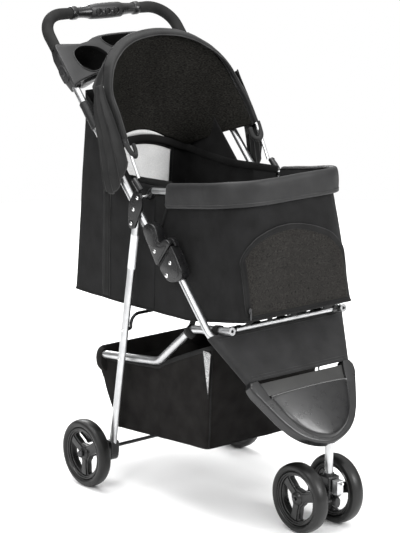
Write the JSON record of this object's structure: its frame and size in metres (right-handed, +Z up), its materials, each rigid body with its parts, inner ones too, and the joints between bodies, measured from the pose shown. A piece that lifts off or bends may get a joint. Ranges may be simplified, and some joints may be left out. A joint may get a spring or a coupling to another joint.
{
  "type": "pet stroller",
  "caption": "Folding three-wheel pet stroller: open fabric cabin with hood, cup tray at the handle, under-basket, swivelling double front wheel.",
  "frame": {"origin": "on the floor at the centre of the bounding box footprint, between the wheels", "axes": "+Z up, -Y towards the front wheels, +Y towards the handle and the person pushing, +X to the stroller's left"},
  "size_m": [0.475, 0.8182, 1.0312],
  "materials": {
    "silver_tube": "satin anodised tube",
    "steel": "plated rivet",
    "dark_rod": "black painted steel rod",
    "black_plastic": "fine textured moulding",
    "glossy_plastic": "glossy moulding",
    "foam": "foam sleeve",
    "fabric": "woven polyester",
    "tyre": "smooth foam-rubber tyre"
  },
  "bodies": {
    "front_frame": {"front_tube_right": "silver_tube", "front_tube_left": "silver_tube", "elbow_lower_right": "black_plastic", "elbow_lower_left": "black_plastic", "elbow_pin_right": "steel", "elbow_pin_left": "steel", "front_fender": "glossy_plastic", "front_panel": "fabric", "caster_stem": "silver_tube"},
    "handle_frame": {"handle_tube": "silver_tube", "foam_sleeve_right": "foam", "foam_sleeve_left": "foam", "grip_collar_right": "glossy_plastic", "grip_collar_left": "glossy_plastic", "grip_body": "black_plastic", "cup_tray": "black_plastic", "elbow_upper_right": "black_plastic", "elbow_upper_left": "black_plastic", "hinge_plate_right": "black_plastic", "hinge_plate_left": "black_plastic", "leg_pin_right": "steel", "leg_pin_left": "steel", "canopy_arm_right": "black_plastic", "canopy_arm_left": "black_plastic"},
    "latch_right": {"fold_latch_right": "black_plastic"},
    "latch_left": {"fold_latch_left": "black_plastic"},
    "rear_legs": {"rear_leg_right": "silver_tube", "rear_leg_left": "silver_tube", "foot_bracket_right": "black_plastic", "foot_bracket_left": "black_plastic", "arch_brace": "dark_rod", "rear_axle": "dark_rod", "side_pin_right": "steel", "side_pin_left": "steel"},
    "brake_right": {"brake_pedal_right": "black_plastic"},
    "brake_left": {"brake_pedal_left": "black_plastic"},
    "rear_wheel_right": {"rear_tyre_right": "tyre", "rear_rim_right": "black_plastic"},
    "rear_wheel_left": {"rear_tyre_left": "tyre", "rear_rim_left": "black_plastic"},
    "basket_frame": {"basket_tube": "silver_tube", "cross_bar": "silver_tube", "basket": "fabric", "cabin_shell": "fabric", "floor_board": "dark_rod", "cabin_pad": "fabric"},
    "rim_frame": {"rim_bar": "silver_tube", "rim_joint_right": "black_plastic", "rim_joint_left": "black_plastic", "rim_cover": "fabric"},
    "canopy": {"canopy_bow": "silver_tube", "canopy_shell": "fabric"},
    "caster": {"caster_bracket": "black_plastic", "front_axle": "dark_rod"},
    "swivel_lock": {"swivel_lock": "steel"},
    "front_wheel_right": {"front_tyre_right": "tyre", "front_rim_right": "black_plastic"},
    "front_wheel_left": {"front_tyre_left": "tyre", "front_rim_left": "black_plastic"}
  },
  "joints": [
    {"name": "fold", "type": "hinge", "parent": "front_frame", "child": "handle_frame", "pos_m": [0, -0.0691, 0.518], "axis": [-1, 0, 0], "range_deg": [0, 130], "deforming": ["cabin_shell", "basket", "cabin_pad"]},
    {"name": "leg_fold", "type": "hinge", "parent": "handle_frame", "child": "rear_legs", "pos_m": [0, 0.0479, 0.609], "axis": [-1, 0, 0], "range_deg": [-83, 0]},
    {"name": "basket_frame_fold", "type": "hinge", "parent": "front_frame", "child": "basket_frame", "pos_m": [0, -0.1841, 0.4175], "axis": [-1, 0, 0], "range_deg": [0, 83]},
    {"name": "rim_fold", "type": "hinge", "parent": "handle_frame", "child": "rim_frame", "pos_m": [0, 0.0249, 0.668], "axis": [-1, 0, 0], "range_deg": [-28.7, 0]},
    {"name": "canopy_swing", "type": "hinge", "parent": "handle_frame", "child": "canopy", "pos_m": [0, 0.0349, 0.705], "axis": [1, 0, 0], "range_deg": [0, 60], "deforming": ["canopy_shell"]},
    {"name": "latch_release_right", "type": "hinge", "parent": "handle_frame", "child": "latch_right", "pos_m": [-0.176, -0.0531, 0.588], "axis": [-1, 0, 0], "range_deg": [0, 12], "stiffness_Nm_per_rad": 0.5, "springref_deg": -11.46},
    {"name": "latch_release_left", "type": "hinge", "parent": "handle_frame", "child": "latch_left", "pos_m": [0.176, -0.0531, 0.588], "axis": [-1, 0, 0], "range_deg": [0, 12], "stiffness_Nm_per_rad": 0.5, "springref_deg": -11.46},
    {"name": "brake_right", "type": "hinge", "parent": "rear_legs", "child": "brake_right", "pos_m": [-0.185, 0.1969, 0.095], "axis": [-1, 0, 0], "range_deg": [0, 18]},
    {"name": "brake_left", "type": "hinge", "parent": "rear_legs", "child": "brake_left", "pos_m": [0.185, 0.1969, 0.095], "axis": [-1, 0, 0], "range_deg": [0, 18]},
    {"name": "rear_wheel_spin_right", "type": "hinge", "parent": "rear_legs", "child": "rear_wheel_right", "pos_m": [-0.2172, 0.1829, 0.075], "axis": [1, 0, 0], "continuous": true},
    {"name": "rear_wheel_spin_left", "type": "hinge", "parent": "rear_legs", "child": "rear_wheel_left", "pos_m": [0.2172, 0.1829, 0.075], "axis": [1, 0, 0], "continuous": true},
    {"name": "caster_swivel", "type": "hinge", "parent": "front_frame", "child": "caster", "pos_m": [0, -0.3661, 0.15], "axis": [0, 0, 1], "continuous": true},
    {"name": "swivel_lock_slide", "type": "slide", "parent": "caster", "child": "swivel_lock", "axis": [0, 0, -1], "range_m": [0, 0.008]},
    {"name": "front_wheel_spin_right", "type": "hinge", "parent": "caster", "child": "front_wheel_right", "pos_m": [-0.0492, -0.3331, 0.0742], "axis": [1, 0, 0], "continuous": true},
    {"name": "front_wheel_spin_left", "type": "hinge", "parent": "caster", "child": "front_wheel_left", "pos_m": [0.0492, -0.3331, 0.0742], "axis": [1, 0, 0], "continuous": true}
  ],
  "couplings": [
    {"joint": "leg_fold", "follows": "fold", "ratio": -0.635},
    {"joint": "basket_frame_fold", "follows": "fold", "ratio": 0.635},
    {"joint": "rim_fold", "follows": "fold", "ratio": -0.217}
  ]
}
